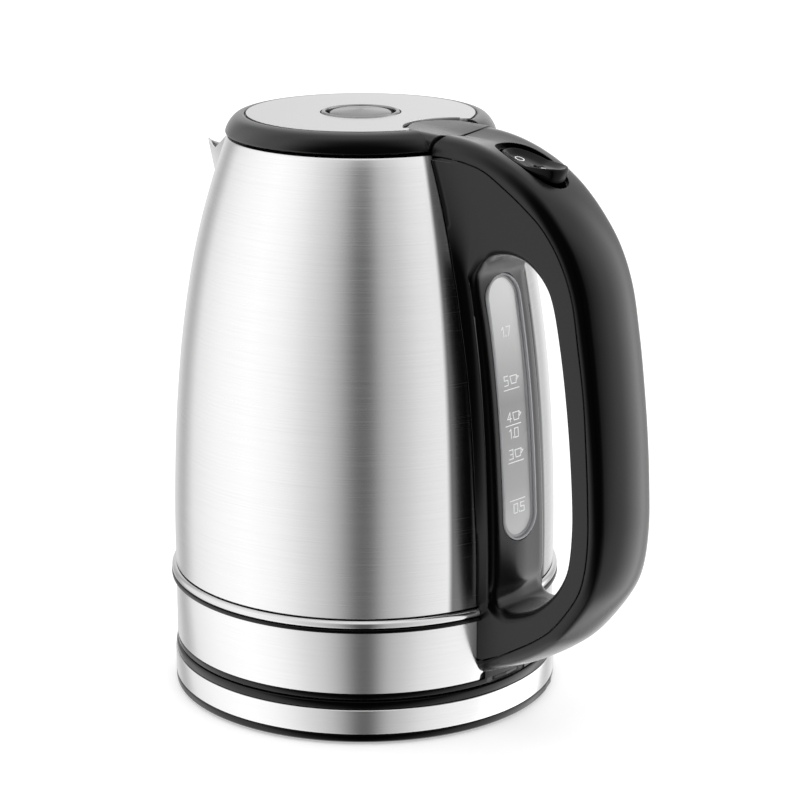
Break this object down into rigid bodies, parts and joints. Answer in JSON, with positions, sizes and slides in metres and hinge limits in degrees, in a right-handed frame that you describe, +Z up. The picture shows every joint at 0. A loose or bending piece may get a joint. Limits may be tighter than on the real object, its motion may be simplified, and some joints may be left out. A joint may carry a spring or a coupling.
{
  "type": "electric kettle",
  "caption": "Cordless jug kettle of brushed steel with a black D-shaped handle, window strip, hinged lid, lid button and rocker switch, standing on a round power base.",
  "frame": {"origin": "centre of the power base where it rests on the table", "axes": "+Z up the kettle, +X towards the handle, -X towards the spout, XZ is the plane of symmetry"},
  "size_m": [0.2326, 0.1626, 0.2414],
  "materials": {
    "black_plastic": "fine satin",
    "brushed_steel": "brushed round the body",
    "plated_metal": "bright plated",
    "brass": "plain",
    "silicone": "matte",
    "white_plastic": "satin",
    "frosted_window": "frosted translucent plastic",
    "satin_grey_metal": "satin",
    "gloss_black_plastic": "polished"
  },
  "bodies": {
    "power_base": {"base_tray": "black_plastic", "cord_outlet": "black_plastic", "base_steel_band": "brushed_steel", "base_top_cover": "black_plastic", "base_foot_1": "silicone", "base_foot_2": "silicone", "base_foot_3": "silicone", "base_foot_4": "silicone", "base_screw_1": "plated_metal", "base_screw_2": "plated_metal", "base_screw_3": "plated_metal", "connector_post": "black_plastic", "live_contact_pin": "brass", "neutral_contact_ring": "brass", "earth_contact_ring": "brass"},
    "socket_ring": {"socket_seal_ring": "silicone"},
    "kettle": {"base_moulding": "black_plastic", "drain_slot_insert": "black_plastic", "lower_band": "brushed_steel", "trim_bead": "brushed_steel", "heating_plate": "brushed_steel", "plate_seal": "silicone", "heat_spreader": "plated_metal", "heating_element": "plated_metal", "control_unit": "white_plastic", "dry_boil_disc_1": "brass", "dry_boil_disc_2": "brass", "body_shell": "brushed_steel", "spout": "brushed_steel", "mouth_collar": "black_plastic", "filter_frame": "black_plastic", "filter_mesh": "plated_metal", "water_window": "frosted_window", "window_gasket": "silicone", "handle_inner_shell": "black_plastic", "handle_outer_shell": "black_plastic", "handle_screw_lower_near": "plated_metal", "handle_screw_lower_far": "plated_metal", "handle_screw_upper_near": "plated_metal", "handle_screw_upper_far": "plated_metal", "hinge_pin": "plated_metal", "hinge_spring": "plated_metal", "steam_tube": "silicone", "steam_disc": "brass", "switch_bezel": "black_plastic", "switch_housing": "black_plastic", "switch_leads": "silicone", "rocker_pin": "plated_metal"},
    "lid": {"lid_ring": "black_plastic", "lid_disc": "brushed_steel", "button_bezel": "satin_grey_metal", "lid_inner_cover": "black_plastic", "lid_seal": "silicone", "hinge_arm": "black_plastic", "button_spring": "plated_metal"},
    "button": {"lid_button": "satin_grey_metal"},
    "latch": {"latch_bolt": "white_plastic"},
    "rocker": {"rocker_switch": "gloss_black_plastic"}
  },
  "joints": [
    {"name": "kettle_lift", "type": "slide", "parent": "power_base", "child": "socket_ring", "axis": [0, 0, 1], "range_m": [0, 0.06]},
    {"name": "kettle_swivel", "type": "hinge", "parent": "socket_ring", "child": "kettle", "pos_m": [0, 0, 0], "axis": [0, 0, 1], "continuous": true},
    {"name": "lid_hinge", "type": "hinge", "parent": "kettle", "child": "lid", "pos_m": [0.062, 0, 0.2306], "axis": [0, 1, 0], "range_deg": [0, 60]},
    {"name": "button_press", "type": "slide", "parent": "lid", "child": "button", "axis": [0, 0, -1], "range_m": [0, 0.003], "stiffness_N_per_m": 400, "springref_m": -0.002, "deforming": ["button_spring"]},
    {"name": "latch_slide", "type": "slide", "parent": "lid", "child": "latch", "axis": [1, 0, 0], "range_m": [0, 0.003]},
    {"name": "rocker_tilt", "type": "hinge", "parent": "kettle", "child": "rocker", "pos_m": [0.08819, 0, 0.22634], "axis": [0, 1, 0], "range_deg": [0, 12]}
  ],
  "couplings": [
    {"joint": "latch_slide", "follows": "button_press", "ratio": 1}
  ]
}
